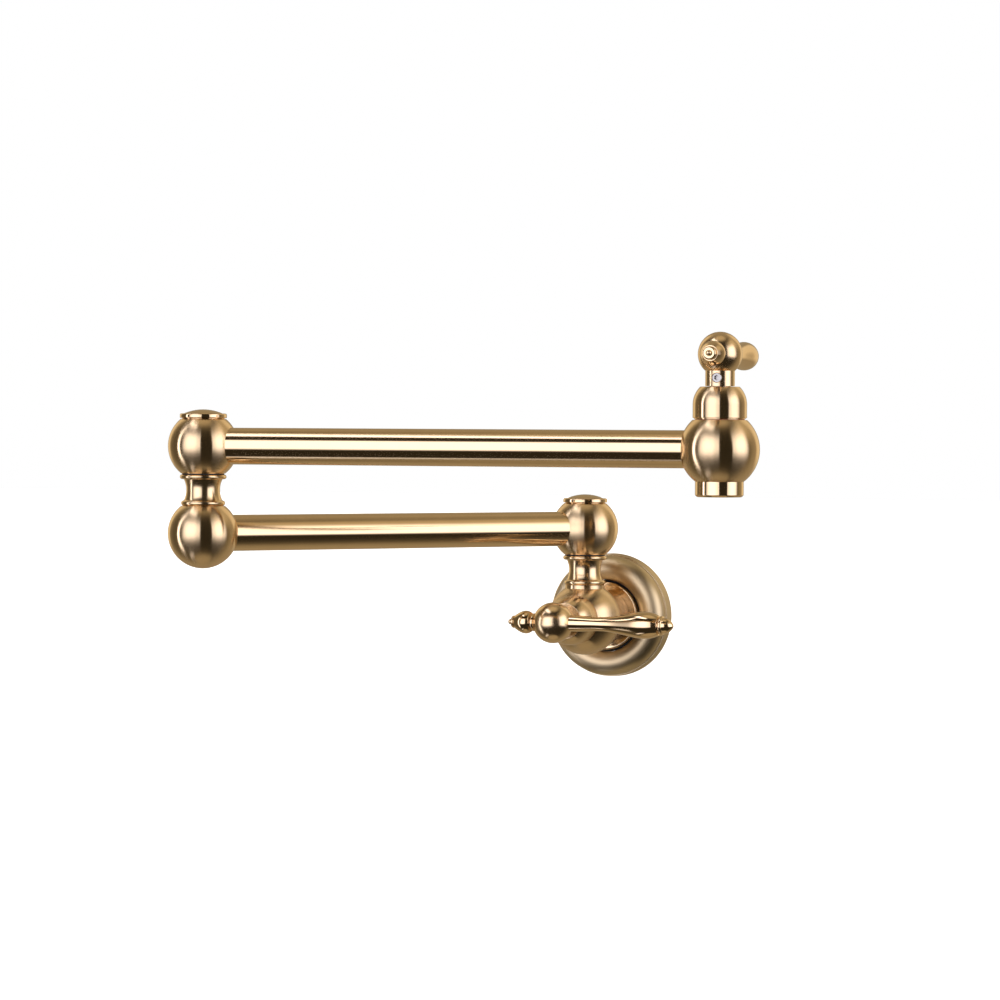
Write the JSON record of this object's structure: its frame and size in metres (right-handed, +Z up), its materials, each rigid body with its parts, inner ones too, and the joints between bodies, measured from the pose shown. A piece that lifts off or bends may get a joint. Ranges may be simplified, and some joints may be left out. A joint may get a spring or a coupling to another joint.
{
  "type": "wall mounted pot filler",
  "caption": "Pot filler tap on a round wall flange, with a double-jointed swinging arm, quarter-turn lever valves at the wall and the spout, spool necks, ball joints and an aerated spout.",
  "frame": {"origin": "on the wall face at the centre of the inlet and of the flange", "axes": "+Y into the wall along the inlet, +Z up along the post, +X to the right along the wall"},
  "size_m": [0.312, 0.2692, 0.1885],
  "materials": {
    "satin_brass": "brushed champagne gold",
    "polished_brass": "polished champagne gold",
    "plain_brass": "machined, unplated",
    "steel": "machined",
    "rubber": "moulded",
    "black_plastic": "smooth",
    "white_plastic": "smooth",
    "fibre": "pressed fibre",
    "ceramic": "lapped"
  },
  "bodies": {
    "wall_side": {"wall_flange": "satin_brass", "flange_gasket": "rubber", "flange_o_ring": "rubber", "shank_collar": "polished_brass", "inlet_nipple": "plain_brass", "inlet_washer": "fibre", "valve_body": "satin_brass", "wall_bonnet": "satin_brass", "wall_cartridge_housing": "plain_brass", "wall_head_gasket": "fibre", "wall_fixed_disc": "ceramic", "wall_seat_seal": "rubber", "post_neck": "polished_brass", "post_neck_seal": "rubber", "post_thrust_washer": "black_plastic", "post_o_rings": "rubber", "post_retaining_washer": "white_plastic", "post_retaining_nut": "plain_brass"},
    "wall_handle": {"wall_handle_hub": "polished_brass", "wall_lever": "polished_brass", "wall_finial": "polished_brass", "wall_grub_screw": "steel", "wall_spindle": "plain_brass", "wall_spindle_o_ring": "rubber", "wall_spindle_clip": "steel", "wall_moving_disc": "ceramic"},
    "arm_1": {"post_ball": "satin_brass", "post_cap": "polished_brass", "arm_1_tube": "satin_brass", "elbow_lower_ball": "satin_brass", "elbow_neck": "polished_brass", "elbow_neck_seal": "rubber", "elbow_thrust_washer": "black_plastic", "elbow_o_rings": "rubber", "elbow_retaining_washer": "white_plastic", "elbow_retaining_nut": "plain_brass"},
    "arm_2": {"elbow_upper_ball": "satin_brass", "elbow_cap": "polished_brass", "arm_2_tube": "satin_brass", "outlet_body": "satin_brass", "outlet_bonnet": "satin_brass", "outlet_cartridge_housing": "plain_brass", "outlet_head_gasket": "fibre", "outlet_fixed_disc": "ceramic", "outlet_seat_seal": "rubber", "aerator_housing": "polished_brass", "aerator_cage": "white_plastic", "aerator_screen": "steel", "aerator_washer": "rubber"},
    "outlet_handle": {"outlet_handle_hub": "polished_brass", "outlet_lever": "polished_brass", "outlet_finial": "polished_brass", "outlet_grub_screw": "steel", "outlet_spindle": "plain_brass", "outlet_spindle_o_ring": "rubber", "outlet_spindle_clip": "steel", "outlet_moving_disc": "ceramic"}
  },
  "joints": [
    {"name": "arm_1_swing", "type": "hinge", "parent": "wall_side", "child": "arm_1", "pos_m": [0, -0.046, 0.04984], "axis": [0, 0, 1], "range_deg": [-53, 127]},
    {"name": "arm_2_swing", "type": "hinge", "parent": "arm_1", "child": "arm_2", "pos_m": [-0.14083, -0.23288, 0.09522], "axis": [0, 0, 1], "range_deg": [-132.5, 47.5]},
    {"name": "wall_handle_turn", "type": "hinge", "parent": "wall_side", "child": "wall_handle", "pos_m": [0, -0.0934, 0], "axis": [0, 1, 0], "range_deg": [0, 90]},
    {"name": "outlet_handle_turn", "type": "hinge", "parent": "arm_2", "child": "outlet_handle", "pos_m": [0.13291, -0.20652, 0.1426], "axis": [0, 0, 1], "range_deg": [-90, 0]}
  ]
}
